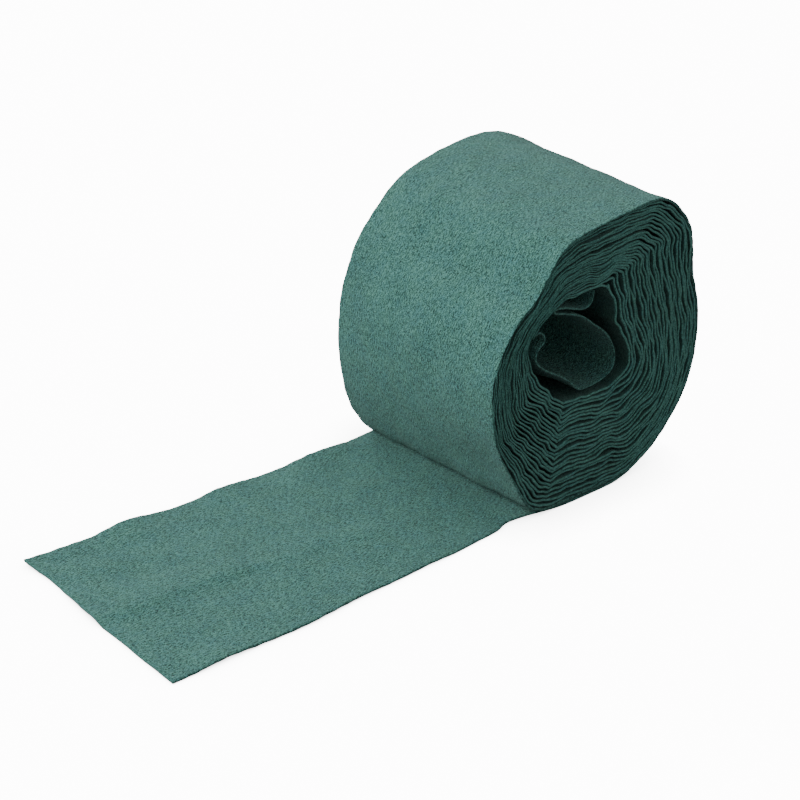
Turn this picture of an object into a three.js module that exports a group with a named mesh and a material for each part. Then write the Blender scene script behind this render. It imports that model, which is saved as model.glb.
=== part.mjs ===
// Roll of tree wrap fabric: one long strip of needle-punched felt, wound on itself without a core.
// Millimetres, +Z up. The roll's axis lies along Y and its near end faces -Y.
// The outer end of the strip is drawn out along the floor to -X. The origin is on the floor, under the axis.

import * as THREE from "three";

// Driving dimensions
const STRIP_WIDTH = 120;
const CLOTH = 1.4;
const GAP = 0.3;
const RIDGE_TURNS = 9;
const RIDGE_DEPTH = 1.6;
const RIM_ROUNDING = 0.8;
const COLUMNS_PER_FOLD = 3;
const WIDTH_STEPS = 4;

// The wound form on the near end, seen from -Y. Each row is one line across all turns, as x and z:
// where it leaves the hollow, where it crosses the middle turn and where it meets the rim.
// far is how much further out the rim stands at the far end. The rows run anticlockwise from the sharp
// fold below the hollow, in the direction in which the strip runs inwards.
const FOLDS = [
  { hollow: [-28.5, 65.3], middle: [-30.3, 33.0], rim: [-34.2, 2.5], far: 3.8 },
  { hollow: [-17.0, 65.0], middle: [-18.0, 34.5], rim: [-17.0, 1.7], far: 0 },
  { hollow: [-4.0, 63.8], middle: [-3.0, 32.2], rim: [-3.0, 1.7], far: 0 },
  { hollow: [5.0, 64.0], middle: [9.0, 31.6], rim: [9.0, 1.7], far: 0 },
  { hollow: [14.0, 66.8], middle: [22.0, 31.0], rim: [23.8, 0.9], far: 0 },
  { hollow: [18.9, 73.0], middle: [36.6, 36.6], rim: [38.5, 6.2], far: 0 },
  { hollow: [16.4, 81.8], middle: [48.0, 46.6], rim: [55.0, 16.5], far: 0 },
  { hollow: [11.6, 88.0], middle: [51.0, 63.6], rim: [70.8, 37.5], far: -1 },
  { hollow: [7.0, 95.0], middle: [46.5, 82.0], rim: [76.3, 62.0], far: -2 },
  { hollow: [3.2, 101.5], middle: [39.5, 99.5], rim: [73.0, 91.0], far: 1 },
  { hollow: [0.8, 109.0], middle: [32.5, 115.0], rim: [63.5, 113.0], far: 6 },
  { hollow: [-2.5, 118.5], middle: [27.0, 128.0], rim: [60.0, 128.0], far: 9 },
  { hollow: [-4.5, 124.0], middle: [25.0, 134.5], rim: [54.0, 142.9], far: 11 },
  { hollow: [-10.0, 124.4], middle: [12.0, 140.7], rim: [31.5, 159.0], far: 3 },
  { hollow: [-18.0, 123.0], middle: [-5.0, 139.2], rim: [5.0, 159.0], far: 2.5 },
  { hollow: [-30.0, 121.3], middle: [-27.0, 137.0], rim: [-24.0, 154.5], far: -0.5 },
  { hollow: [-40.0, 119.8], middle: [-41.0, 132.5], rim: [-42.5, 147.8], far: -3 },
  { hollow: [-49.0, 114.0], middle: [-53.0, 120.5], rim: [-57.0, 127.3], far: 2 },
  { hollow: [-56.0, 106.5], middle: [-63.0, 110.0], rim: [-70.0, 115.5], far: -3 },
  { hollow: [-57.4, 97.5], middle: [-69.0, 97.5], rim: [-80.3, 96.0], far: -7.5 },
  { hollow: [-52.0, 88.0], middle: [-68.0, 80.0], rim: [-81.0, 75.0], far: -6.3 },
  { hollow: [-42.0, 78.6], middle: [-62.0, 63.0], rim: [-75.0, 53.5], far: -1.7 },
  { hollow: [-34.0, 70.6], middle: [-46.5, 48.5], rim: [-60.2, 29.8], far: 7.7 },
  { hollow: [-31.0, 67.4], middle: [-36.0, 38.5], rim: [-46.9, 8.9], far: 4.0 },
];
// The strip leaves the roll at this row: before it the roll lies on the strip, after it on the floor.
const LEAVING_ROW = 3;
const STEP_WIDTH = 0.04;

// The strip's outline where it lies on the floor, from its end to the place where it leaves the roll.
// near and far are the y of its two edges, nearLift and farLift the height of its waves there.
// A long soft crease runs back from the end at the y of crease, raised by creaseLift.
const LOOSE_END = [
  { x: -262.5, near: -59.6, far: 56.8, nearLift: 0.0, farLift: 2.2, crease: -2, creaseLift: 1.2 },
  { x: -248.0, near: -60.2, far: 56.8, nearLift: 0.6, farLift: 1.4, crease: -3, creaseLift: 1.4 },
  { x: -230.0, near: -60.4, far: 56.8, nearLift: 1.2, farLift: 1.2, crease: -5, creaseLift: 1.2 },
  { x: -210.0, near: -61.0, far: 56.8, nearLift: 0.4, farLift: 3.6, crease: -7, creaseLift: 1.4 },
  { x: -190.0, near: -61.6, far: 56.8, nearLift: 0.0, farLift: 0.4, crease: -9, creaseLift: 1.0 },
  { x: -172.0, near: -60.7, far: 56.8, nearLift: 0.8, farLift: 0.0, crease: -12, creaseLift: 1.2 },
  { x: -155.0, near: -59.6, far: 56.8, nearLift: 0.2, farLift: 1.9, crease: -14, creaseLift: 0.8 },
  { x: -135.0, near: -59.5, far: 56.8, nearLift: 0.0, farLift: 0.2, crease: -17, creaseLift: 0.6 },
  { x: -115.0, near: -58.8, far: 56.8, nearLift: 0.6, farLift: 0.2, crease: -20, creaseLift: 0.3 },
  { x: -98.0, near: -58.9, far: 56.9, nearLift: 0.2, farLift: 1.6, crease: -22, creaseLift: 0.0 },
  { x: -80.0, near: -57.9, far: 57.2, nearLift: 0.0, farLift: 1.2, crease: -22, creaseLift: 0.0 },
  { x: -65.0, near: -57.0, far: 58.0, nearLift: 0.0, farLift: 0.4, crease: -22, creaseLift: 0.0 },
  { x: -55.0, near: -54.4, far: 59.0, nearLift: 0.0, farLift: 0.2, crease: -22, creaseLift: 0.0 },
  { x: -42.0, near: -55.4, far: 60.0, nearLift: 0.0, farLift: 0.0, crease: -22, creaseLift: 0.0 },
  { x: -20.0, near: -59.4, far: 60.0, nearLift: 0.0, farLift: 0.0, crease: -22, creaseLift: 0.0 },
  { x: 8.0, near: -60.0, far: 60.0, nearLift: 0.0, farLift: 0.0, crease: -22, creaseLift: 0.0 },
];
const LOOSE_LENGTH_STEPS = 45;
const LOOSE_WIDTH_STEPS = 12;
const CREASE_WIDTH = 13;
// How far the cut end strays from a straight line, from its near corner to its far one, and how far back
// along the strip that is felt.
const END_STRAY = [0.2, -0.7, -1.1, -2.1, -1.5, -0.9, -3.9];
const END_STRAY_LENGTH = 30;

// The loose inner end, along the middle of its thickness, as x and z of its near edge: it springs off the wall
// at the left, crumples, runs down to a sharp fold, sweeps up the right side and folds back at the top.
// lean is how far further out than its near edge the rest of the strip stands.
const INNER_END = [
  { at: [-53.4, 106.3], lean: 0 },
  { at: [-50.4, 107.0], lean: 0 },
  { at: [-47.2, 105.0], lean: 0 },
  { at: [-46.6, 101.4], lean: 0 },
  { at: [-50.4, 98.6], lean: 0 },
  { at: [-52.2, 94.6], lean: 0 },
  { at: [-50.4, 90.8], lean: 0.5 },
  { at: [-44.0, 85.6], lean: 2 },
  { at: [-36.8, 81.6], lean: 3.5 },
  { at: [-29.4, 77.4], lean: 4.5 },
  { at: [-23.6, 73.0], lean: 3 },
  { at: [-17.4, 67.8], lean: 0 },
  { at: [-12.0, 66.8], lean: 0 },
  { at: [-5.0, 66.8], lean: 0 },
  { at: [1.6, 69.0], lean: 0 },
  { at: [6.4, 73.4], lean: 0 },
  { at: [7.6, 80.2], lean: 0 },
  { at: [5.0, 87.0], lean: 0 },
  { at: [-1.4, 94.6], lean: 0 },
  { at: [-11.0, 101.7], lean: 0 },
  { at: [-21.0, 108.4], lean: 0 },
  { at: [-31.0, 112.0], lean: 0 },
  { at: [-41.4, 115.2], lean: 0 },
  { at: [-41.6, 117.4], lean: 0 },
  { at: [-35.0, 116.6], lean: 0 },
  { at: [-26.6, 113.8], lean: 0 },
  { at: [-19.0, 112.0], lean: 0 },
  { at: [-14.2, 114.2], lean: 0 },
  { at: [-13.8, 120.4], lean: 0 },
];
const INNER_STEPS_PER_POINT = 2;
const INNER_RECESS = 1;
const LEAN_DEPTH = 22;

// The colour of the felt
const felt = new THREE.MeshStandardMaterial({ color: 0x3f7568, roughness: 0.95, metalness: 0 });

// Builds one closed mesh from points and triangles. Equal points are shared, and triangles that have
// shrunk to a line are left out.
function closedMesh(name, triangles) {
  const index = new Map();
  const positions = [];
  const indices = [];
  const indexOf = (point) => {
    const key = point.map((value) => Math.round(value * 1000)).join(",");
    if (!index.has(key)) {
      index.set(key, positions.length / 3);
      positions.push(...point);
    }
    return index.get(key);
  };
  for (const triangle of triangles) {
    const [a, b, c] = triangle.map(indexOf);
    if (a !== b && b !== c && c !== a) {
      indices.push(a, b, c);
    }
  }
  const geometry = new THREE.BufferGeometry();
  geometry.setAttribute("position", new THREE.Float32BufferAttribute(positions, 3));
  geometry.setIndex(indices);
  geometry.computeVertexNormals();
  const mesh = new THREE.Mesh(geometry, felt);
  mesh.name = name;
  return mesh;
}

// Adds the two triangles of a four-sided patch, whose corners run anticlockwise seen from outside.
function addPatch(triangles, a, b, c, d) {
  triangles.push([a, b, c], [a, c, d]);
}

// A smooth open curve through flat points.
function smoothCurve(points) {
  const corners = points.map(([x, z]) => new THREE.Vector3(x, 0, z));
  return new THREE.CatmullRomCurve3(corners, false, "catmullrom", 0.5);
}

// A smooth line through single numbers, one a row, read at a fraction of the way along the table.
function smoothValue(values) {
  const curve = smoothCurve(values.map((value) => [value, 0]));
  return (fraction) => curve.getPoint(fraction).x;
}

// The three rings of the wound form start and end at the sharp fold, so it stays sharp.
const ringRows = [...FOLDS, FOLDS[0]];
const hollowRing = smoothCurve(ringRows.map((row) => row.hollow));
const middleRing = smoothCurve(ringRows.map((row) => row.middle));
const rimRing = smoothCurve(ringRows.map((row) => row.rim));
const farPush = smoothValue(ringRows.map((row) => row.far));

// A point of the wound form: row along the table, depth from 0 at the hollow to 1 at the rim, and y.
function woundPoint(row, depth, y) {
  const fraction = row / FOLDS.length;
  const hollow = hollowRing.getPoint(fraction);
  const middle = middleRing.getPoint(fraction);
  const rim = rimRing.getPoint(fraction);
  const outwards = new THREE.Vector3().subVectors(rim, middle).normalize();
  const push = farPush(fraction) * (0.5 + y / STRIP_WIDTH);
  middle.addScaledVector(outwards, push / 2);
  rim.addScaledVector(outwards, push);
  const liesOnStrip = row <= LEAVING_ROW || row > FOLDS.length / 2;
  rim.z = Math.max(rim.z, liesOnStrip ? CLOTH + GAP : 0);
  const point = new THREE.Vector3();
  point.addScaledVector(hollow, (1 - depth) * (1 - 2 * depth));
  point.addScaledVector(middle, 4 * depth * (1 - depth));
  point.addScaledVector(rim, depth * (2 * depth - 1));
  return [point.x, y, point.z];
}

// The rows at which the wound form is cut into columns, with one more where the strip leaves.
function columnRows() {
  const rows = [];
  for (let fold = 0; fold < FOLDS.length; fold += 1) {
    for (let part = 0; part < COLUMNS_PER_FOLD; part += 1) {
      rows.push(fold + part / COLUMNS_PER_FOLD);
    }
  }
  rows.push(LEAVING_ROW + STEP_WIDTH);
  return rows.sort((a, b) => a - b);
}

// One end of the roll: a spiral of ridges and grooves. A line of the spiral drifts inwards by one ridge
// and one groove while it goes round once, and is held between the hollow and the rim.
function addEnd(triangles, rows, side) {
  const half = STRIP_WIDTH / 2;
  const lines = 2 * RIDGE_TURNS + 2;
  const endPoint = (line, column) => {
    const turned = column / rows.length;
    const row = rows[column % rows.length];
    const depth = THREE.MathUtils.clamp((line - 2 * turned) / (2 * RIDGE_TURNS), 0, 1);
    const onEdge = depth === 0 || depth === 1;
    const groove = line % 2 === 0 ? 0 : RIDGE_DEPTH;
    const inset = onEdge ? RIM_ROUNDING : groove;
    return woundPoint(row, depth, side * (half - inset));
  };
  for (let column = 0; column < rows.length; column += 1) {
    for (let line = 0; line < lines; line += 1) {
      const a = endPoint(line, column);
      const b = endPoint(line + 1, column);
      const c = endPoint(line + 1, column + 1);
      const d = endPoint(line, column + 1);
      if (side < 0) {
        addPatch(triangles, a, b, c, d);
      } else {
        addPatch(triangles, a, d, c, b);
      }
    }
  }
}

// A wall that runs from the near end to the far end: the rim at depth 1, the hollow at depth 0.
function addWall(triangles, rows, depth, steps) {
  const reach = STRIP_WIDTH / 2 - RIM_ROUNDING;
  for (let column = 0; column < rows.length; column += 1) {
    const row = rows[column];
    const next = rows[(column + 1) % rows.length];
    for (let step = 0; step < steps; step += 1) {
      const y = reach * ((2 * step) / steps - 1);
      const nextY = reach * ((2 * step + 2) / steps - 1);
      const a = woundPoint(row, depth, y);
      const b = woundPoint(row, depth, nextY);
      const c = woundPoint(next, depth, nextY);
      const d = woundPoint(next, depth, y);
      if (depth === 1) {
        addPatch(triangles, a, b, c, d);
      } else {
        addPatch(triangles, a, d, c, b);
      }
    }
  }
}

// The wound form with its hollow, as one solid.
function woundRoll() {
  const triangles = [];
  const rows = columnRows();
  addEnd(triangles, rows, -1);
  addEnd(triangles, rows, 1);
  addWall(triangles, rows, 1, WIDTH_STEPS);
  addWall(triangles, rows, 0, 1);
  return closedMesh("wound_roll", triangles);
}

// A closed sheet between an upper and a lower surface, each given by its steps along and across.
function sheet(name, alongSteps, acrossSteps, upper, lower) {
  const triangles = [];
  for (let along = 0; along < alongSteps; along += 1) {
    for (let across = 0; across < acrossSteps; across += 1) {
      const corners = [[along, across], [along + 1, across], [along + 1, across + 1], [along, across + 1]];
      const [a, b, c, d] = corners.map(([i, j]) => upper(i, j));
      const [e, f, g, h] = corners.map(([i, j]) => lower(i, j));
      addPatch(triangles, a, b, c, d);
      addPatch(triangles, e, h, g, f);
    }
    addPatch(triangles, lower(along, 0), lower(along + 1, 0), upper(along + 1, 0), upper(along, 0));
    const last = acrossSteps;
    addPatch(triangles, lower(along + 1, last), lower(along, last), upper(along, last), upper(along + 1, last));
  }
  for (let across = 0; across < acrossSteps; across += 1) {
    addPatch(triangles, lower(0, across + 1), lower(0, across), upper(0, across), upper(0, across + 1));
    const end = alongSteps;
    addPatch(triangles, lower(end, across), lower(end, across + 1), upper(end, across + 1), upper(end, across));
  }
  return closedMesh(name, triangles);
}

// The drawn-out end on the floor: flat for the most part, with low waves along its edges.
function looseEnd() {
  const column = (key) => smoothValue(LOOSE_END.map((row) => row[key]));
  const [x, near, far] = ["x", "near", "far"].map(column);
  const [nearLift, farLift] = ["nearLift", "farLift"].map(column);
  const [crease, creaseLift] = ["crease", "creaseLift"].map(column);
  const endStray = smoothValue(END_STRAY);
  const surface = (height) => (along, across) => {
    const fraction = along / LOOSE_LENGTH_STEPS;
    const side = across / LOOSE_WIDTH_STEPS;
    const y = THREE.MathUtils.lerp(near(fraction), far(fraction), side);
    const edgeLift = (2 * side - 1) ** 4 * (side < 0.5 ? nearLift(fraction) : farLift(fraction));
    const ridge = Math.exp(-(((y - crease(fraction)) / CREASE_WIDTH) ** 2)) * creaseLift(fraction);
    const fromEnd = (x(fraction) - LOOSE_END[0].x) / END_STRAY_LENGTH;
    const stray = endStray(side) * Math.max(0, 1 - fromEnd);
    return [x(fraction) + stray, y, Math.max(0, edgeLift + ridge) + height];
  };
  return sheet("loose_end", LOOSE_LENGTH_STEPS, LOOSE_WIDTH_STEPS, surface(CLOTH), surface(0));
}

// The sprung inner end: its near edge tips in, and the rest of its width keeps one line.
function innerEnd() {
  const curve = smoothCurve(INNER_END.map((row) => row.at));
  const lean = smoothValue(INNER_END.map((row) => row.lean));
  const steps = INNER_STEPS_PER_POINT * (INNER_END.length - 1);
  const widths = [-STRIP_WIDTH / 2 + INNER_RECESS, -STRIP_WIDTH / 2 + LEAN_DEPTH, STRIP_WIDTH / 2 - INNER_RECESS];
  const surface = (offset) => (along, across) => {
    const fraction = along / steps;
    const point = curve.getPoint(fraction);
    const tangent = curve.getTangent(fraction);
    const inwards = new THREE.Vector3(-tangent.z, 0, tangent.x);
    const setBack = across === 0 ? 0 : lean(fraction);
    point.addScaledVector(inwards, offset - setBack);
    return [point.x, widths[across], point.z];
  };
  return sheet("inner_end", steps, widths.length - 1, surface(CLOTH / 2), surface(-CLOTH / 2));
}

const roll = new THREE.Group();
roll.add(woundRoll(), looseEnd(), innerEnd());

export default roll;
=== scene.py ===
import math

import bpy
import numpy as np
from mathutils import Matrix, Vector


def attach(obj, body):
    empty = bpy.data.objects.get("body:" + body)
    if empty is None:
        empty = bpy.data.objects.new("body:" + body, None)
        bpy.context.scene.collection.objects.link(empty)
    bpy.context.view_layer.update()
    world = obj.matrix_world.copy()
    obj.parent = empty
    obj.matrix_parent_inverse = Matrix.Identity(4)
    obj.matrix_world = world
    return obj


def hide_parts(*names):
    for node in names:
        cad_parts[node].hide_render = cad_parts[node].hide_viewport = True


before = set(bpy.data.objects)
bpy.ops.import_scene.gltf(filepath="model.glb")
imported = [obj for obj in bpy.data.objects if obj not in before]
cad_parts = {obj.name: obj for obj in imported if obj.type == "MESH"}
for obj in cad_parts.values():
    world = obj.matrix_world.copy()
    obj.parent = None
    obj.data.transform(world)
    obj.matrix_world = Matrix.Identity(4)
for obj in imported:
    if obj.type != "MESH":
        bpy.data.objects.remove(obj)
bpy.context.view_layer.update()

# Sizes of the strip and the roll, in millimetres. One scene unit is a metre, and one UV unit a decimetre.
MM = 0.001
DECIMETRE = 100.0
STRIP_WIDTH = 120.0
HALF_WIDTH = STRIP_WIDTH / 2
CLOTH = 1.4
TURNS = 27
SAMPLES_A_TURN = 250
OUTER_TURNS = 1.02

# How thick the cloth is on the roll: a share of the room that a turn has, and its limits
OUTER_SHARE = 0.7
OUTER_LEAST = 0.45
TURN_SHARE = 0.57
TURN_LEAST = 0.4
TURN_MOST = 1.3

# Where the meshes have points across the strip, in from its near edge or its far edge, and how far in from
# them the edges are rounded
EDGE_ROUNDING = 0.35
TURN_NEAR_PLACES = [0, 0.1, 0.35, 2, 8]
TURN_FAR_PLACES = [0, 0.35, 3]
OUTER_EDGE_PLACES = [0, 0.1, 0.35, 1.4]
OUTER_MIDDLE_PLACES = np.linspace(3, STRIP_WIDTH - 3, 58)
CURL_NEAR_PLACES = [0, 0.2, 0.7, 3, 8, 14, 20, 30]
CURL_FAR_PLACES = [0, 0.3, 3]

# The wound form on the near end, seen from -Y, as in the CAD. Each row is one line across all turns, from
# the hollow over the middle turn to the rim, each as x and z, then how much further out the rim stands at
# the far end. Only the bottom of the rim differs from the CAD: it rests on the strip there, and overhangs it
# at the left.
FOLDS = [
    # hollow         middle          rim             far
    (-28.5, 65.3, -30.3, 33.0, -33.4, 1.4, 4.5),
    (-17.0, 65.0, -18.0, 34.5, -17.0, 0.0, 0.0),
    (-4.0, 63.8, -3.0, 32.2, -3.0, 0.0, 0.0),
    (5.0, 64.0, 9.0, 31.6, 9.0, 0.0, 0.0),
    (14.0, 66.8, 22.0, 31.0, 23.8, 0.9, 0.0),
    (18.9, 73.0, 36.6, 36.6, 38.5, 6.2, 0.0),
    (16.4, 81.8, 48.0, 46.6, 55.0, 16.5, 0.0),
    (11.6, 88.0, 51.0, 63.6, 70.8, 37.5, -1.0),
    (7.0, 95.0, 46.5, 82.0, 76.3, 62.0, -2.0),
    (3.2, 101.5, 39.5, 99.5, 73.0, 91.0, 1.0),
    (0.8, 109.0, 32.5, 115.0, 63.5, 113.0, 6.0),
    (-2.5, 118.5, 27.0, 128.0, 60.0, 128.0, 9.0),
    (-4.5, 124.0, 25.0, 134.5, 54.0, 142.9, 11.0),
    (-10.0, 124.4, 12.0, 140.7, 31.5, 159.0, 3.0),
    (-18.0, 123.0, -5.0, 139.2, 5.0, 159.0, 2.5),
    (-30.0, 121.3, -27.0, 137.0, -24.0, 154.5, -0.5),
    (-40.0, 119.8, -41.0, 132.5, -42.5, 147.8, -3.0),
    (-49.0, 114.0, -53.0, 120.5, -57.0, 127.3, 2.0),
    (-56.0, 106.5, -63.0, 110.0, -70.0, 115.5, -3.0),
    (-57.4, 97.5, -69.0, 97.5, -80.3, 96.0, -7.5),
    (-52.0, 88.0, -68.0, 80.0, -81.0, 75.0, -6.3),
    (-42.0, 78.6, -62.0, 63.0, -75.0, 53.5, -1.7),
    (-34.0, 70.6, -46.5, 48.5, -60.2, 29.8, 7.7),
    (-31.0, 67.4, -36.0, 38.5, -47.2, 8.6, 6.3),
]
# The row at which the strip leaves the floor and turns up into the roll, and after what share of each turn
# the layers start to step in by one
LEAVING_ROW = 3
STEP_START = 0.72
# How many turns the wound form has, up to the place where the inner end springs off
WOUND_TURNS = 26.63

# Soft ripples in the layers, where the roll has been pressed: how far they push the layers inwards
RIPPLES = [
    # x     z    inwards radius
    (14.5, 19.5, 2.6, 8.5),
    (8.0, 29.0, 1.6, 8.0),
    (31.0, 19.0, -1.8, 8.0),
    (14.0, 61.0, 2.4, 6.5),
    (28.0, 45.0, 1.6, 6.0),
    (37.0, 39.0, 2.2, 6.0),
    (-48.0, 63.0, 2.2, 9.0),
    (-12.0, 131.0, 1.5, 9.0),
    (62.0, 100.0, 1.6, 10.0),
    (-66.0, 88.0, 0.9, 12.0),
    (43.0, 128.0, 1.4, 8.0),
]
# Gaps between neighbouring turns: after so many turns from outside, from one row of the folds to another
GAPS = [
    # turns, first row, last row, width
    (1, 15.2, 19.0, 0.9),
    (1, 19.2, 23.6, 0.5),
    (3, 17.6, 21.4, 0.6),
    (6, 20.6, 23.6, 0.7),
    (9, 2.4, 5.4, 1.3),
    (5, 8.0, 10.6, 0.9),
    (10, 13.0, 17.0, 1.5),
    (13, 11.5, 14.2, 0.8),
    (16, 14.8, 17.2, 0.6),
    (14, 6.4, 9.0, 0.7),
    (20, 8.6, 11.2, 0.7),
    (4, 0.0, 2.6, 0.6),
    (15, 0.2, 2.4, 0.7),
    (21, 20.8, 23.2, 0.6),
]
GAP_REACH = 2.5
GAP_FADE = 0.7
# The innermost turn rounds the upper right corner of the hollow instead of filling it. It draws away from
# the turn outside it between so many turns and so many turns before the last.
STAND_OFF = 4.6
STAND_OFF_ROW = 12.2
STAND_OFF_REACH = 1.2
STAND_OFF_FROM = 1.75
STAND_OFF_TO = 1.35
# Where the near edges of some turns lie deeper than the rest
RECESSES = [
    # first turn, last turn, first row, last row, depth
    (1.0, 4.2, 13.6, 18.8, 1.9),
    (6.5, 8.5, 8.0, 11.0, 0.6),
    (11.5, 13.5, 19.0, 22.0, 0.6),
    (17.0, 19.0, 13.4, 16.4, 0.7),
]
RECESS_FADE = 0.4

# How far the edges of the turns stray, and how far in from them the strip follows
NEAR_STRAY = 0.4
NEAR_STRAY_FINE = 0.05
NEAR_STRAY_LIMIT = 0.8
FAR_STRAY = 0.5
FAR_STRAY_LIMIT = 0.6
STRAY_REACH = 30
# How far the layers wave together, and how far each on its own, as a share of the room that a turn has
SHARED_WOBBLE = 0.32
OWN_WOBBLE = 0.09
OWN_RIPPLE = 0.015

# The drawn-out end on the floor, as in the CAD, with a slightly sharper crease
LOOSE_END = [
    # x      near   far  near lift, far lift, crease y, crease lift
    (-262.5, -59.6, 56.8, 0.0, 2.2, -1.0, 1.6),
    (-248.0, -60.2, 56.8, 0.6, 1.4, -3.0, 1.8),
    (-230.0, -60.4, 56.8, 1.2, 1.2, -5.0, 1.8),
    (-210.0, -61.0, 56.8, 0.4, 3.6, -7.0, 1.7),
    (-190.0, -61.6, 56.8, 0.0, 0.4, -9.0, 1.5),
    (-172.0, -60.7, 56.8, 0.8, 0.0, -12.0, 1.2),
    (-155.0, -59.6, 56.8, 0.2, 1.9, -14.0, 0.8),
    (-135.0, -59.5, 56.8, 0.0, 0.2, -17.0, 0.6),
    (-115.0, -58.8, 56.8, 0.6, 0.2, -20.0, 0.3),
    (-98.0, -58.9, 56.9, 0.2, 1.6, -22.0, 0.0),
    (-80.0, -57.9, 57.2, 0.0, 1.2, -22.0, 0.0),
    (-65.0, -57.0, 58.0, 0.0, 0.4, -22.0, 0.0),
    (-55.0, -54.4, 59.0, 0.0, 0.2, -22.0, 0.0),
    (-42.0, -55.4, 60.0, 0.0, 0.0, -22.0, 0.0),
    (-20.0, -59.4, 60.0, 0.0, 0.0, -22.0, 0.0),
    (8.0, -60.0, 60.0, 0.0, 0.0, -22.0, 0.0),
]
CREASE_NEAR = 5.0
CREASE_FAR = 17.0
END_STRAY = [0.2, -0.7, -1.1, -2.1, -1.5, -0.9, -3.9]
END_STRAY_LENGTH = 30.0
EDGE_LIFT_POWER = 4
TAIL_STEP = 2.0
# Small waves in the outer strip: their heights, the length of the outermost turn, and where they fade in or
# out, as x on the drawn-out end and as shares of the outermost turn. Under the roll the strip is flat.
LOOSE_COCKLE = 0.22
ROLL_COCKLE = 0.2
SMALL_COCKLE = 0.1
OUTER_TURN_LENGTH = 480
UNDER_ROLL = (-70, -40)
FLOOR_LEFT = (0.02, 0.08)
FLOOR_REACHED = (0.86, 0.92)

# The sprung inner end, along the middle of its thickness: x and z of its near edge, and how much further
# out the rest of the strip stands
INNER_END = [
    (-53.4, 106.3, 0.0),
    (-50.4, 107.0, 0.0),
    (-47.2, 105.0, 0.0),
    (-46.6, 101.4, 0.0),
    (-50.4, 98.6, 0.0),
    (-52.2, 94.6, 0.0),
    (-50.4, 90.8, 0.5),
    (-44.0, 85.6, 2.0),
    (-36.8, 81.6, 3.5),
    (-29.4, 77.4, 4.5),
    (-23.6, 73.0, 3.0),
    (-17.4, 67.8, 0.0),
    (-12.0, 66.8, 0.0),
    (-5.0, 66.8, 0.0),
    (1.6, 69.0, 0.0),
    (6.4, 73.4, 0.0),
    (7.6, 80.2, 0.0),
    (5.0, 87.0, 0.0),
    (-1.4, 94.6, 0.0),
    (-11.0, 101.7, 0.0),
    (-21.0, 108.4, 0.0),
    (-31.0, 112.0, 0.0),
    (-41.4, 115.2, 0.0),
    (-41.6, 117.4, 0.0),
    (-35.0, 116.6, 0.0),
    (-26.6, 113.8, 0.0),
    (-19.0, 112.0, 0.0),
    (-14.2, 114.2, 0.0),
    (-13.8, 120.4, 0.0),
]
INNER_SAMPLES = 10
INNER_HALF_WIDTH = 59.0
LEAN_DEPTH = 21.0
CURL_CLOTH = 0.9
CURL_STRAY = 0.5
CURL_STRAY_REACH = 20

# The felt's dark and light colours, the tint that it has in patches and specks, and how much of it elsewhere
FELT_DARK = (0.009, 0.040, 0.031, 1)
FELT_LIGHT = (0.104, 0.280, 0.228, 1)
FELT_TINT = (0.80, 0.88, 1.08, 1)
TINT_SHARE = 0.3
# The felt's noises: how many to a decimetre, their detail, and how strongly they show in the colour or tint
FIBRES = (125, 2, 1.2)
GRAIN = (150, 1, 2.5)
CLUMPS = (26, 3, 0.4)
BLOTCHES = (5, 2, 0.34)
TINT_PATCHES = (9, 2, 1.4)
TINT_SPECKS = (50, 2, 1.6)
# The ways in which the fibres lie, in degrees, how long they are drawn and how curly they are
FIBRE_WAYS = (20, 78, -42)
FIBRE_STRETCH = (0.38, 1, 1)
FIBRE_CURL = 0.3
# The felt's relief: how strong the grain is in it against the fibres, its height and its strength
GRAIN_RELIEF = 1.2
FELT_RELIEF = 0.65
FELT_RELIEF_STRENGTH = 0.8
# How far in the cut edges reach, with their lighter fibres and painted light, and at how many times that
# their look has faded away
CUT_EDGE = 0.4
CUT_EDGE_FADE = 1.6
# The wound turns: how light their cut edges are, partly lighter fibres and partly painted light; how dark
# the rest is, painted shade for the shadow in the gaps between turns and in the hollow; and how strong
# fibres and grain are on them
CUT_EDGE_FIBRES_AND_PAINTED_LIGHT = 1.5
WOUND_PAINTED_SHADE = 0.55
WOUND_CONTRAST = 0.45
# How matt the felt is, and the soft gleam of its fibres
FELT_ROUGHNESS = 0.95
FELT_GLOSS = 0.15
FELT_SHEEN = 0.15
FELT_SHEEN_ROUGHNESS = 0.6
FELT_SHEEN_TINT = (0.6, 0.85, 0.8, 1)

# The photo's camera: its place, lens and sensor in millimetres, its angles in degrees, and how far it sees,
# in metres
CAMERA_PLACE = (-556.58, -493.16, 407.32)
CAMERA_AZIMUTH = -43.79
CAMERA_ELEVATION = 27.17
CAMERA_ROLL = 3.85
CAMERA_LENS = 68.73
CAMERA_SENSOR = 36
CAMERA_END = 50

# The studio, in metres and watts. Only the reach of the floor's painted contact shadow is in millimetres.
FLOOR_REACH = 12.0
FLOOR_COLOUR = 0.2
FLOOR_ROUGHNESS = 0.9
FLOOR_GLOW = 13.0
# The floor's painted contact shadow: its glow there, its reach, its deepest ambient occlusion and its
# samples
FLOOR_GLOW_IN_PAINTED_SHADOW = 3.0
PAINTED_SHADOW_REACH = 30.0
PAINTED_SHADOW_DEEPEST = 0.2
PAINTED_SHADOW_SAMPLES = 16
SKY = 0.49
LIGHTS_AIM = (-0.05, 0, 0.06)
SOFTBOXES = [
    # name        x     y    z    size energy
    ("soft_left", -1.5, 0.42, 1.15, 1.0, 35),
    ("soft_top", 0.5, 0.6, 1.8, 1.2, 5),
    ("soft_back", 0.0, 1.8, 1.0, 1.2, 11),
]

SEED = 7
random = np.random.default_rng(SEED)


# Smooth lines through tables

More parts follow.
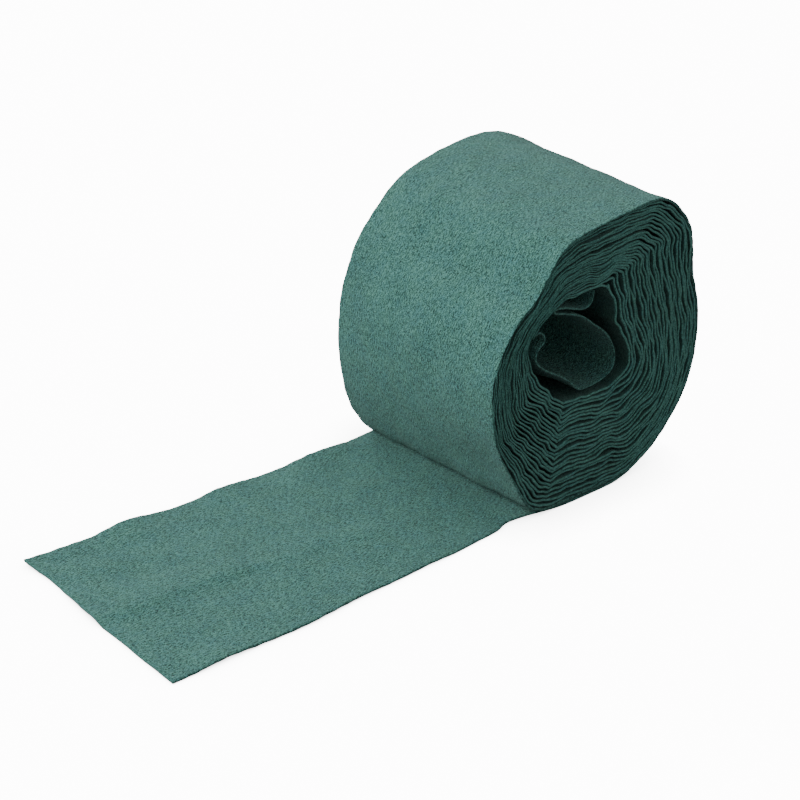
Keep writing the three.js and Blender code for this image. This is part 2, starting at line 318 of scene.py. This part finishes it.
def smooth(rows, place):
    """Values at places along a table, on one smooth curve through all its rows."""
    rows = np.asarray(rows, float)
    rows = rows.reshape(len(rows), -1)
    padded = np.vstack([2 * rows[0] - rows[1], rows, 2 * rows[-1] - rows[-2]])
    place = np.clip(np.asarray(place, float), 0, len(rows) - 1)
    left = np.minimum(place.astype(int), len(rows) - 2)
    t = (place - left)[..., None]
    before, start, end, after = (padded[left + k] for k in range(4))
    into = (end - before) / 2
    out = (after - start) / 2
    return (
        start
        + into * t
        + (3 * (end - start) - 2 * into - out) * t**2
        + (2 * (start - end) + into + out) * t**3
    )


def ease(value, low, high):
    """0 below low, 1 above high, and smooth between."""
    t = np.clip((np.asarray(value, float) - low) / (high - low), 0, 1)
    return t * t * (3 - 2 * t)


class Waves:
    """Soft random waves over flat places, the same each run: a sum of sines in many directions."""

    def __init__(self, longest, shortest, count=14):
        lengths = longest * (shortest / longest) ** random.random(count)
        angles = random.random(count) * 2 * math.pi
        self.across = np.stack([np.cos(angles), np.sin(angles)]) * (2 * math.pi / lengths)
        self.shift = random.random(count) * 2 * math.pi
        self.scale = math.sqrt(2 / count)

    def at(self, a, b):
        phase = np.multiply.outer(a, self.across[0]) + np.multiply.outer(b, self.across[1]) + self.shift
        return np.sin(phase).sum(-1) * self.scale


# The wound form

RINGS = np.array(FOLDS + FOLDS[:1])


def wound_point(place, depth, y):
    """x and z in the wound form: place along the table, depth from hollow (0) to rim (1), and y."""
    row = smooth(RINGS, place)
    hollow, middle, rim, far = row[..., 0:2], row[..., 2:4], row[..., 4:6], row[..., 6]
    outwards = rim - middle
    outwards = outwards / np.linalg.norm(outwards, axis=-1, keepdims=True)
    push = (far * (0.5 + y / STRIP_WIDTH))[..., None] * outwards
    middle = middle + push / 2
    rim = rim + push
    depth = np.asarray(depth, float)[..., None]
    return (
        (1 - depth) * (1 - 2 * depth) * hollow
        + 4 * depth * (1 - depth) * middle
        + depth * (2 * depth - 1) * rim
    )


def stepped_in(wind):
    """How many layers lie outside this point: the whole roll steps in over the leaving strip."""
    whole = np.floor(wind)
    return whole + ease(wind - whole, STEP_START, 1.0)


def wound_surface(wind, y):
    """x and z of the strip's outer side after so many turns, and how thick a turn is there."""
    place = np.mod(LEAVING_ROW + len(FOLDS) * wind, len(FOLDS))
    depth = 1 - stepped_in(wind) / TURNS
    point = wound_point(place, depth, y)
    inside = wound_point(place, depth - 1 / TURNS, y)
    return point, np.linalg.norm(point - inside, axis=-1)


def window(value, first, last, fade):
    """1 between first and last, and smooth to 0 outside them."""
    return ease(value, first - fade, first + fade) * (1 - ease(value, last - fade, last + fade))


def pressed(wind, surface, normal):
    """The strip's surface with its ripples, its gaps and the innermost turn's rounded corner."""
    row = np.mod(LEAVING_ROW + len(FOLDS) * wind, len(FOLDS))
    turn = stepped_in(wind) + 0.5
    outwards = np.zeros(len(wind))
    for x, z, inwards, radius in RIPPLES:
        away = np.hypot(surface[:, 0] - x, surface[:, 1] - z)
        outwards -= inwards * np.exp(-((away / radius) ** 2))
    for turns, first, last, width in GAPS:
        side = np.clip((turns - turn) * 2, -1, 1)
        share = side * np.exp(-np.abs(turns - turn) / GAP_REACH)
        outwards += share * width / 2 * window(row, first, last, GAP_FADE)
    corner = np.exp(-(((row - STAND_OFF_ROW) / STAND_OFF_REACH) ** 2))
    outwards -= STAND_OFF * corner * ease(wind, TURNS - STAND_OFF_FROM, TURNS - STAND_OFF_TO)
    return surface + normal * outwards[:, None]


def recess(wind):
    """How much deeper the near edge lies."""
    row = np.mod(LEAVING_ROW + len(FOLDS) * wind, len(FOLDS))
    turn = stepped_in(wind)
    depth = np.zeros(len(wind))
    for first_turn, last_turn, first, last, deeper in RECESSES:
        turns_share = window(turn, first_turn, last_turn, RECESS_FADE)
        depth += deeper * turns_share * window(row, first, last, GAP_FADE)
    return depth


def outward_normals(points):
    """Flat normals along rows of points, to the right of the way in which they run anticlockwise."""
    along = np.gradient(points, axis=0)
    along = along / np.linalg.norm(along, axis=-1, keepdims=True)
    return np.stack([along[..., 1], -along[..., 0]], axis=-1)


# Meshes

def strip_mesh(name, outer, inner, places, lengths, material):
    """A closed strip between two grids of points, stations by places across. The grids share their edges.
    places and lengths are how far across and along the strip its points lie. Its UV map is in decimetres,
    along the strip, and across its outer side and back across its inner side."""
    stations, across = outer.shape[:2]
    ring = np.concatenate([outer, inner[:, -2:0:-1]], axis=1)
    around = ring.shape[1]
    girth = np.concatenate([places, 2 * STRIP_WIDTH - places[-2::-1]])
    i, k = np.meshgrid(np.arange(stations - 1), np.arange(around), indexing="ij")
    after = (k + 1) % around
    here, there = i * around, (i + 1) * around
    quads = np.stack([here + k, here + after, there + after, there + k], -1)
    u = np.stack([lengths[i], lengths[i], lengths[i + 1], lengths[i + 1]], -1)
    v = np.stack([girth[k], girth[k + 1], girth[k + 1], girth[k]], -1)
    faces = quads.reshape(-1, 4).tolist()
    uvs = np.stack([u, v], -1).reshape(-1, 2)
    for station, flip in ((0, True), (stations - 1, False)):
        base = station * around
        for j in range(across - 1):
            low, high = base + j, base + j + 1
            low_in = base + (around - j) % around
            high_in = base + (around - j - 1) % around
            corners = list(dict.fromkeys([low, high, high_in, low_in]))
            if len(corners) > 2:
                faces.append(corners[::-1] if flip else corners)
    mesh = bpy.data.meshes.new(name)
    mesh.from_pydata((ring.reshape(-1, 3) * MM).tolist(), [], faces)
    layer = mesh.uv_layers.new(name="UVMap")
    flat = np.zeros((len(mesh.loops), 2), np.float32)
    flat[: len(uvs)] = uvs / DECIMETRE
    layer.data.foreach_set("uv", flat.ravel())
    mesh.polygons.foreach_set("use_smooth", [True] * len(mesh.polygons))
    mesh.materials.append(material)
    mesh.validate()
    mesh.update()
    obj = bpy.data.objects.new(name, mesh)
    bpy.context.scene.collection.objects.link(obj)
    return obj


def edge_places(near_steps, middle_steps, far_steps):
    """Places across the strip, in from its near edge, and how full the cloth's thickness is there."""
    far = [STRIP_WIDTH - step for step in far_steps[::-1]]
    places = np.array(list(near_steps) + list(middle_steps) + far)
    from_edge = np.minimum(places, STRIP_WIDTH - places)
    fullness = np.sqrt(1 - (1 - np.clip(from_edge / EDGE_ROUNDING, 0, 1)) ** 2)
    return places, fullness


def inner_turns(material):
    """All turns but the outermost, as one long spiral strip."""
    count = int((WOUND_TURNS - 1) * SAMPLES_A_TURN) + 1
    wind = 1 + np.arange(count) / SAMPLES_A_TURN
    places, fullness = edge_places(TURN_NEAR_PLACES, [], TURN_FAR_PLACES)
    near_out = wound_surface(wind, np.full(count, -HALF_WIDTH))[0]
    lengths = np.concatenate([[0], np.cumsum(np.linalg.norm(np.diff(near_out, axis=0), axis=1))])
    zeros = np.zeros(count)
    near_stray = NEAR_EDGE.at(lengths, zeros) * NEAR_STRAY
    near_stray = near_stray + TURN_EDGE.at(lengths, zeros) * NEAR_STRAY_FINE
    near_stray = np.maximum(near_stray, -NEAR_STRAY_LIMIT) + recess(wind)
    far_stray = np.minimum(FAR_EDGE.at(lengths, zeros) * FAR_STRAY, FAR_STRAY_LIMIT)
    own = TURN_WOBBLE.at(lengths, zeros) * OWN_WOBBLE + TURN_RIPPLE.at(lengths, zeros) * OWN_RIPPLE
    outer = np.zeros((count, len(places), 3))
    inner = np.zeros((count, len(places), 3))
    for j, place in enumerate(places):
        y = np.full(count, place - HALF_WIDTH)
        surface, pitch = wound_surface(wind, y)
        normal = outward_normals(surface)
        surface = pressed(wind, surface, normal)
        shared = FACE_WOBBLE.at(surface[:, 0], surface[:, 1]) * SHARED_WOBBLE
        surface = surface + normal * (shared + own * pitch)[:, None]
        thickness = np.clip(TURN_SHARE * pitch, TURN_LEAST, TURN_MOST)
        middle = surface - normal * (thickness / 2)[:, None]
        half = normal * (thickness / 2 * fullness[j])[:, None]
        near_share = 1 - ease(place, 0, STRAY_REACH)
        far_share = ease(place, STRIP_WIDTH - STRAY_REACH, STRIP_WIDTH)
        shifted = y + near_stray * near_share + far_stray * far_share
        for grid, side in ((outer, half), (inner, -half)):
            grid[:, j, 0] = middle[:, 0] + side[:, 0]
            grid[:, j, 1] = shifted
            grid[:, j, 2] = middle[:, 1] + side[:, 1]
    return strip_mesh("inner_turns", outer, inner, places, lengths, material), lengths[-1]


def loose_grid(places, fullness):
    """The two sides of the drawn-out end. Its underside faces out once it is on the roll."""
    length = LOOSE_END[-1][0] - LOOSE_END[0][0]
    count = int(length / TAIL_STEP) + 1
    table = smooth(LOOSE_END, np.linspace(0, len(LOOSE_END) - 1, count))
    x, near, far, near_lift, far_lift, crease, crease_lift = (table[:, [k]] for k in range(7))
    side = places[None, :] / STRIP_WIDTH
    y = near + (far - near) * side
    lift = (2 * side - 1) ** EDGE_LIFT_POWER * np.where(side < 0.5, near_lift, far_lift)
    crease_width = np.where(y < crease, CREASE_NEAR, CREASE_FAR)
    lift = lift + np.exp(-(((y - crease) / crease_width) ** 2)) * crease_lift
    stray = smooth(END_STRAY, side[0] * (len(END_STRAY) - 1))[:, 0][None, :]
    x = x + stray * np.maximum(0, 1 - (x - LOOSE_END[0][0]) / END_STRAY_LENGTH)
    lift = np.maximum(lift, 0)
    free = 1 - ease(x, *UNDER_ROLL)
    relief = COCKLE.at(x, y) * LOOSE_COCKLE + COCKLE_FINE.at(x, y) * SMALL_COCKLE
    height = np.maximum(lift + CLOTH / 2 + relief * free, CLOTH / 2)
    half = CLOTH / 2 * fullness[None, :]
    under = np.stack([x, y, height - half], -1)
    top = np.stack([x, y, height + half], -1)
    return under, top


def outer_strip(material):
    """The drawn-out end and the outermost turn, which are one stretch of strip."""
    places, fullness = edge_places(OUTER_EDGE_PLACES, OUTER_MIDDLE_PLACES, OUTER_EDGE_PLACES)
    under, top = loose_grid(places, fullness)
    count = int(SAMPLES_A_TURN * OUTER_TURNS)
    wind = (np.arange(count) + 0.5) / SAMPLES_A_TURN
    along = wind * OUTER_TURN_LENGTH
    free = ease(wind, *FLOOR_LEFT) * (1 - ease(wind, *FLOOR_REACHED))
    outer = np.zeros((count, len(places), 3))
    inner = np.zeros((count, len(places), 3))
    for j, place in enumerate(places):
        y = np.full(count, place - HALF_WIDTH)
        surface, pitch = wound_surface(wind, y)
        normal = outward_normals(surface)
        relief = COCKLE.at(along, y) * ROLL_COCKLE + COCKLE_FINE.at(along, y) * SMALL_COCKLE
        surface = surface + normal * (relief * free)[:, None]
        thickness = np.clip(OUTER_SHARE * pitch, OUTER_LEAST, CLOTH)
        centre = surface - normal * (thickness / 2)[:, None]
        half = normal * (thickness / 2 * fullness[j])[:, None]
        for grid, side in ((outer, half), (inner, -half)):
            grid[:, j, 0] = centre[:, 0] + side[:, 0]
            grid[:, j, 1] = y
            grid[:, j, 2] = np.maximum(centre[:, 1] + side[:, 1], 0)
    outer = np.concatenate([under, outer])
    inner = np.concatenate([top, inner])
    line = outer[:, len(places) // 2]
    lengths = np.concatenate([[0], np.cumsum(np.linalg.norm(np.diff(line, axis=0), axis=1))])
    return strip_mesh("outer_strip", outer, inner, places, lengths, material), lengths[-1]


def inner_curl(material):
    """The sprung inner end: its near edge tips in, and the rest of its width keeps one line."""
    count = (len(INNER_END) - 1) * INNER_SAMPLES + 1
    table = smooth(INNER_END, np.linspace(0, len(INNER_END) - 1, count))
    line, lean = table[:, :2], table[:, 2]
    steps = np.linalg.norm(np.diff(line, axis=0), axis=1)
    lengths = np.concatenate([[0], np.cumsum(steps)])
    outwards = outward_normals(line)
    places, fullness = edge_places(CURL_NEAR_PLACES, [HALF_WIDTH], CURL_FAR_PLACES)
    outer = np.zeros((count, len(places), 3))
    inner = np.zeros((count, len(places), 3))
    near_stray = NEAR_EDGE.at(lengths, np.zeros(count)) * CURL_STRAY
    for j, place in enumerate(places):
        set_back = lean * ease(place, 0, LEAN_DEPTH)
        middle = line + outwards * set_back[:, None]
        half = outwards * (CURL_CLOTH / 2 * fullness[j])
        y = place / STRIP_WIDTH * 2 * INNER_HALF_WIDTH - INNER_HALF_WIDTH
        y = y + near_stray * (1 - ease(place, 0, CURL_STRAY_REACH))
        for grid, side in ((outer, half), (inner, -half)):
            grid[:, j, 0] = middle[:, 0] + side[:, 0]
            grid[:, j, 1] = y
            grid[:, j, 2] = middle[:, 1] + side[:, 1]
    return strip_mesh("inner_curl", outer, inner, places, lengths, material), lengths[-1]


# Felt

class Nodes:
    """Short ways to add nodes to a material."""

    def __init__(self, material):
        self.tree = material.node_tree
        self.uv = self.new("ShaderNodeTexCoord").outputs["UV"]

    def new(self, kind):
        return self.tree.nodes.new(kind)

    def link(self, source, socket):
        self.tree.links.new(source, socket)

    def noise(self, scale, detail, stretch=(1, 1, 1), turn=0.0, distortion=0.0):
        mapping = self.new("ShaderNodeMapping")
        mapping.inputs["Rotation"].default_value = (0, 0, math.radians(turn))
        mapping.inputs["Scale"].default_value = stretch
        self.link(self.uv, mapping.inputs["Vector"])
        node = self.new("ShaderNodeTexNoise")
        node.inputs["Scale"].default_value = scale
        node.inputs["Detail"].default_value = detail
        node.inputs["Distortion"].default_value = distortion
        self.link(mapping.outputs["Vector"], node.inputs["Vector"])
        return node.outputs["Fac"]

    def maths(self, operation, a, b):
        node = self.new("ShaderNodeMath")
        node.operation = operation
        for socket, value in zip(node.inputs, (a, b)):
            if isinstance(value, (int, float)):
                socket.default_value = value
            else:
                self.link(value, socket)
        return node.outputs[0]

    def total(self, *terms):
        """The sum of noises times their weights, each noise less its middle value."""
        result = None
        for value, weight in terms:
            part = self.maths("MULTIPLY", self.maths("SUBTRACT", value, 0.5), weight)
            result = part if result is None else self.maths("ADD", result, part)
        return result


def felt_colour(nodes, light):
    """The felt's colour where it is so light, with its tint in patches and specks."""
    ramp = nodes.new("ShaderNodeValToRGB")
    ramp.color_ramp.elements[0].position = 0.0
    ramp.color_ramp.elements[0].color = FELT_DARK
    ramp.color_ramp.elements[1].position = 1.0
    ramp.color_ramp.elements[1].color = FELT_LIGHT
    nodes.link(light, ramp.inputs["Fac"])
    patches = nodes.noise(*TINT_PATCHES[:2])
    specks = nodes.noise(*TINT_SPECKS[:2])
    tints = nodes.total((patches, TINT_PATCHES[2]), (specks, TINT_SPECKS[2]))
    hue = nodes.new("ShaderNodeMix")
    hue.data_type = "RGBA"
    hue.blend_type = "MULTIPLY"
    hue.inputs["B"].default_value = FELT_TINT
    nodes.link(nodes.maths("ADD", TINT_SHARE, tints), hue.inputs["Factor"])
    nodes.link(ramp.outputs["Color"], hue.inputs["A"])
    return hue.outputs["Result"]


def edge_fibres_and_painted_light(nodes, cut_edge_fibres_and_light, painted_shade_between_edges):
    """How light the strip is on its cut edges, partly lighter fibres and partly painted light, and between
    them, painted shade on the wound turns, smooth where they meet.
    """
    apart = nodes.new("ShaderNodeSeparateXYZ")
    nodes.link(nodes.uv, apart.inputs[0])
    from_edge = nodes.maths("PINGPONG", apart.outputs["Y"], HALF_WIDTH / DECIMETRE)
    cut = nodes.new("ShaderNodeMapRange")
    cut.interpolation_type = "SMOOTHSTEP"
    cut.inputs["From Min"].default_value = CUT_EDGE / DECIMETRE
    cut.inputs["From Max"].default_value = CUT_EDGE * CUT_EDGE_FADE / DECIMETRE
    # The cut edges are lighter, partly from lighter fibres and partly with painted light; the rest is darker
    # with painted shade on the wound turns.
    cut.inputs["To Min"].default_value = cut_edge_fibres_and_light
    cut.inputs["To Max"].default_value = painted_shade_between_edges
    nodes.link(from_edge, cut.inputs["Value"])
    return cut.outputs["Result"]


def felt_relief(nodes, fibres, grain):
    """The surface's normal over its fibres."""
    relief = nodes.total(*((fibre, 1.0) for fibre in fibres), (grain, GRAIN_RELIEF))
    bump = nodes.new("ShaderNodeBump")
    bump.inputs["Strength"].default_value = FELT_RELIEF_STRENGTH
    bump.inputs["Distance"].default_value = FELT_RELIEF * MM
    nodes.link(nodes.maths("ADD", 0.5, relief), bump.inputs["Height"])
    return bump.outputs["Normal"]


def felt(name, cut_edge_fibres_and_light, painted_shade_between_edges, contrast):
    """Needle-punched felt: short fibres in all directions, soft clumps and faint blotches. Its cut edges are
    lighter by the first factor, partly lighter fibres and partly painted light, and the rest by the second,
    which on the wound turns is painted shade for the shadow in the gaps between them. contrast is how strong
    the fibres are."""
    material = bpy.data.materials.new(name)
    material.use_nodes = True
    nodes = Nodes(material)
    fibres = [nodes.noise(*FIBRES[:2], FIBRE_STRETCH, turn, FIBRE_CURL) for turn in FIBRE_WAYS]
    grain = nodes.noise(*GRAIN[:2])
    fine = nodes.total(*((fibre, FIBRES[2]) for fibre in fibres), (grain, GRAIN[2]))
    clumps = nodes.noise(*CLUMPS[:2])
    blotches = nodes.noise(*BLOTCHES[:2])
    coarse = nodes.total((clumps, CLUMPS[2]), (blotches, BLOTCHES[2]))
    both = nodes.maths("ADD", nodes.maths("MULTIPLY", fine, contrast), coarse)
    colour = felt_colour(nodes, nodes.maths("ADD", 0.5, both))
    # The felt's colour times the cut edges' lighter fibres and painted light, and the painted shade between
    # them
    colour_with_painted_light = nodes.new("ShaderNodeVectorMath")
    colour_with_painted_light.operation = "SCALE"
    nodes.link(colour, colour_with_painted_light.inputs[0])
    nodes.link(edge_fibres_and_painted_light(nodes, cut_edge_fibres_and_light, painted_shade_between_edges), colour_with_painted_light.inputs["Scale"])
    shader = material.node_tree.nodes["Principled BSDF"]
    nodes.link(colour_with_painted_light.outputs["Vector"], shader.inputs["Base Color"])
    nodes.link(felt_relief(nodes, fibres, grain), shader.inputs["Normal"])
    shader.inputs["Roughness"].default_value = FELT_ROUGHNESS
    shader.inputs["Specular IOR Level"].default_value = FELT_GLOSS
    shader.inputs["Sheen Weight"].default_value = FELT_SHEEN
    shader.inputs["Sheen Roughness"].default_value = FELT_SHEEN_ROUGHNESS
    shader.inputs["Sheen Tint"].default_value = FELT_SHEEN_TINT
    return material


# The studio

def floor_material():
    """A floor that glows white, as bright as in the photo, and dims softly where things touch it."""
    material = bpy.data.materials.new("floor_white_with_painted_shadow")
    material.use_nodes = True
    tree = material.node_tree
    shader = tree.nodes["Principled BSDF"]
    shader.inputs["Base Color"].default_value = (FLOOR_COLOUR, FLOOR_COLOUR, FLOOR_COLOUR, 1)
    shader.inputs["Roughness"].default_value = FLOOR_ROUGHNESS
    shader.inputs["Specular IOR Level"].default_value = 0.0
    shader.inputs["Emission Color"].default_value = (1, 1, 1, 1)
    # Ambient occlusion dims the glow where things touch the floor: a painted contact shadow.
    near = tree.nodes.new("ShaderNodeAmbientOcclusion")
    near.inputs["Distance"].default_value = PAINTED_SHADOW_REACH * MM
    near.samples = PAINTED_SHADOW_SAMPLES
    glow_with_painted_shadow = tree.nodes.new("ShaderNodeMapRange")
    glow_with_painted_shadow.inputs["From Min"].default_value = PAINTED_SHADOW_DEEPEST
    glow_with_painted_shadow.inputs["To Min"].default_value = FLOOR_GLOW_IN_PAINTED_SHADOW
    glow_with_painted_shadow.inputs["To Max"].default_value = FLOOR_GLOW
    tree.links.new(near.outputs["AO"], glow_with_painted_shadow.inputs["Value"])
    tree.links.new(glow_with_painted_shadow.outputs["Result"], shader.inputs["Emission Strength"])
    return material


def studio():
    """A wide white floor that lights only itself, a pale sky, and large soft lights to the left, above and
    behind."""
    mesh = bpy.data.meshes.new("floor")
    corners = [(-1, -1), (1, -1), (1, 1), (-1, 1)]
    mesh.from_pydata([(x * FLOOR_REACH, y * FLOOR_REACH, 0) for x, y in corners], [], [(0, 1, 2, 3)])
    mesh.materials.append(floor_material())
    floor = bpy.data.objects.new("floor", mesh)
    bpy.context.scene.collection.objects.link(floor)
    lit_by_floor = bpy.data.collections.new("lit_by_floor")
    lit_by_floor.objects.link(floor)
    floor.light_linking.receiver_collection = lit_by_floor
    world = bpy.data.worlds.new("studio")
    world.use_nodes = True
    world.node_tree.nodes["Background"].inputs["Color"].default_value = (1, 1, 1, 1)
    world.node_tree.nodes["Background"].inputs["Strength"].default_value = SKY
    bpy.context.scene.world = world
    for name, x, y, z, size, energy in SOFTBOXES:
        data = bpy.data.lights.new(name, "AREA")
        data.shape = "DISK"
        data.size = size
        data.energy = energy
        lamp = bpy.data.objects.new(name, data)
        lamp.location = (x, y, z)
        lamp.rotation_euler = (Vector(LIGHTS_AIM) - lamp.location).to_track_quat("-Z", "Y").to_euler()
        bpy.context.scene.collection.objects.link(lamp)


def photo_camera():
    """The camera of the photo."""
    azimuth, elevation, roll = (math.radians(x) for x in (CAMERA_AZIMUTH, CAMERA_ELEVATION, CAMERA_ROLL))
    forward = Vector((
        -math.sin(azimuth) * math.cos(elevation),
        math.cos(azimuth) * math.cos(elevation),
        -math.sin(elevation),
    ))
    level = Vector((math.cos(azimuth), math.sin(azimuth), 0))
    upright = level.cross(forward)
    right = level * math.cos(roll) + upright * math.sin(roll)
    up = upright * math.cos(roll) - level * math.sin(roll)
    data = bpy.data.cameras.new("camera")
    data.lens = CAMERA_LENS
    data.sensor_width = CAMERA_SENSOR
    data.clip_end = CAMERA_END
    camera = bpy.data.objects.new("camera", data)
    turn = Matrix((right, up, -forward)).transposed()
    camera.matrix_world = Matrix.Translation(Vector(CAMERA_PLACE) * MM) @ turn.to_4x4()
    bpy.context.scene.collection.objects.link(camera)
    bpy.context.scene.camera = camera


# Small waves, by their longest and shortest lengths
NEAR_EDGE = Waves(90, 20)
TURN_EDGE = Waves(12, 5)
FAR_EDGE = Waves(60, 9)
FACE_WOBBLE = Waves(26, 8)
TURN_WOBBLE = Waves(120, 25)
TURN_RIPPLE = Waves(14, 6)
COCKLE = Waves(45, 16)
COCKLE_FINE = Waves(14, 6)

photo_camera()
studio()

open_felt = felt("felt_open", 1.0, 1.0, 1.0)
# The wound turns' felt: painted light on its cut edges and painted shade between them, for the shadow in the
# gaps between turns and in the hollow
wound_felt_with_painted_light = felt("felt_wound_painted_light", CUT_EDGE_FIBRES_AND_PAINTED_LIGHT, WOUND_PAINTED_SHADE, WOUND_CONTRAST)
strip, strip_length = outer_strip(open_felt)
turns, turns_length = inner_turns(wound_felt_with_painted_light)
curl, curl_length = inner_curl(open_felt)

for piece in (strip, turns, curl):
    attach(piece, "root")
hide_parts("loose_end", "wound_roll")
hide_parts("wound_roll")
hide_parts("inner_end")
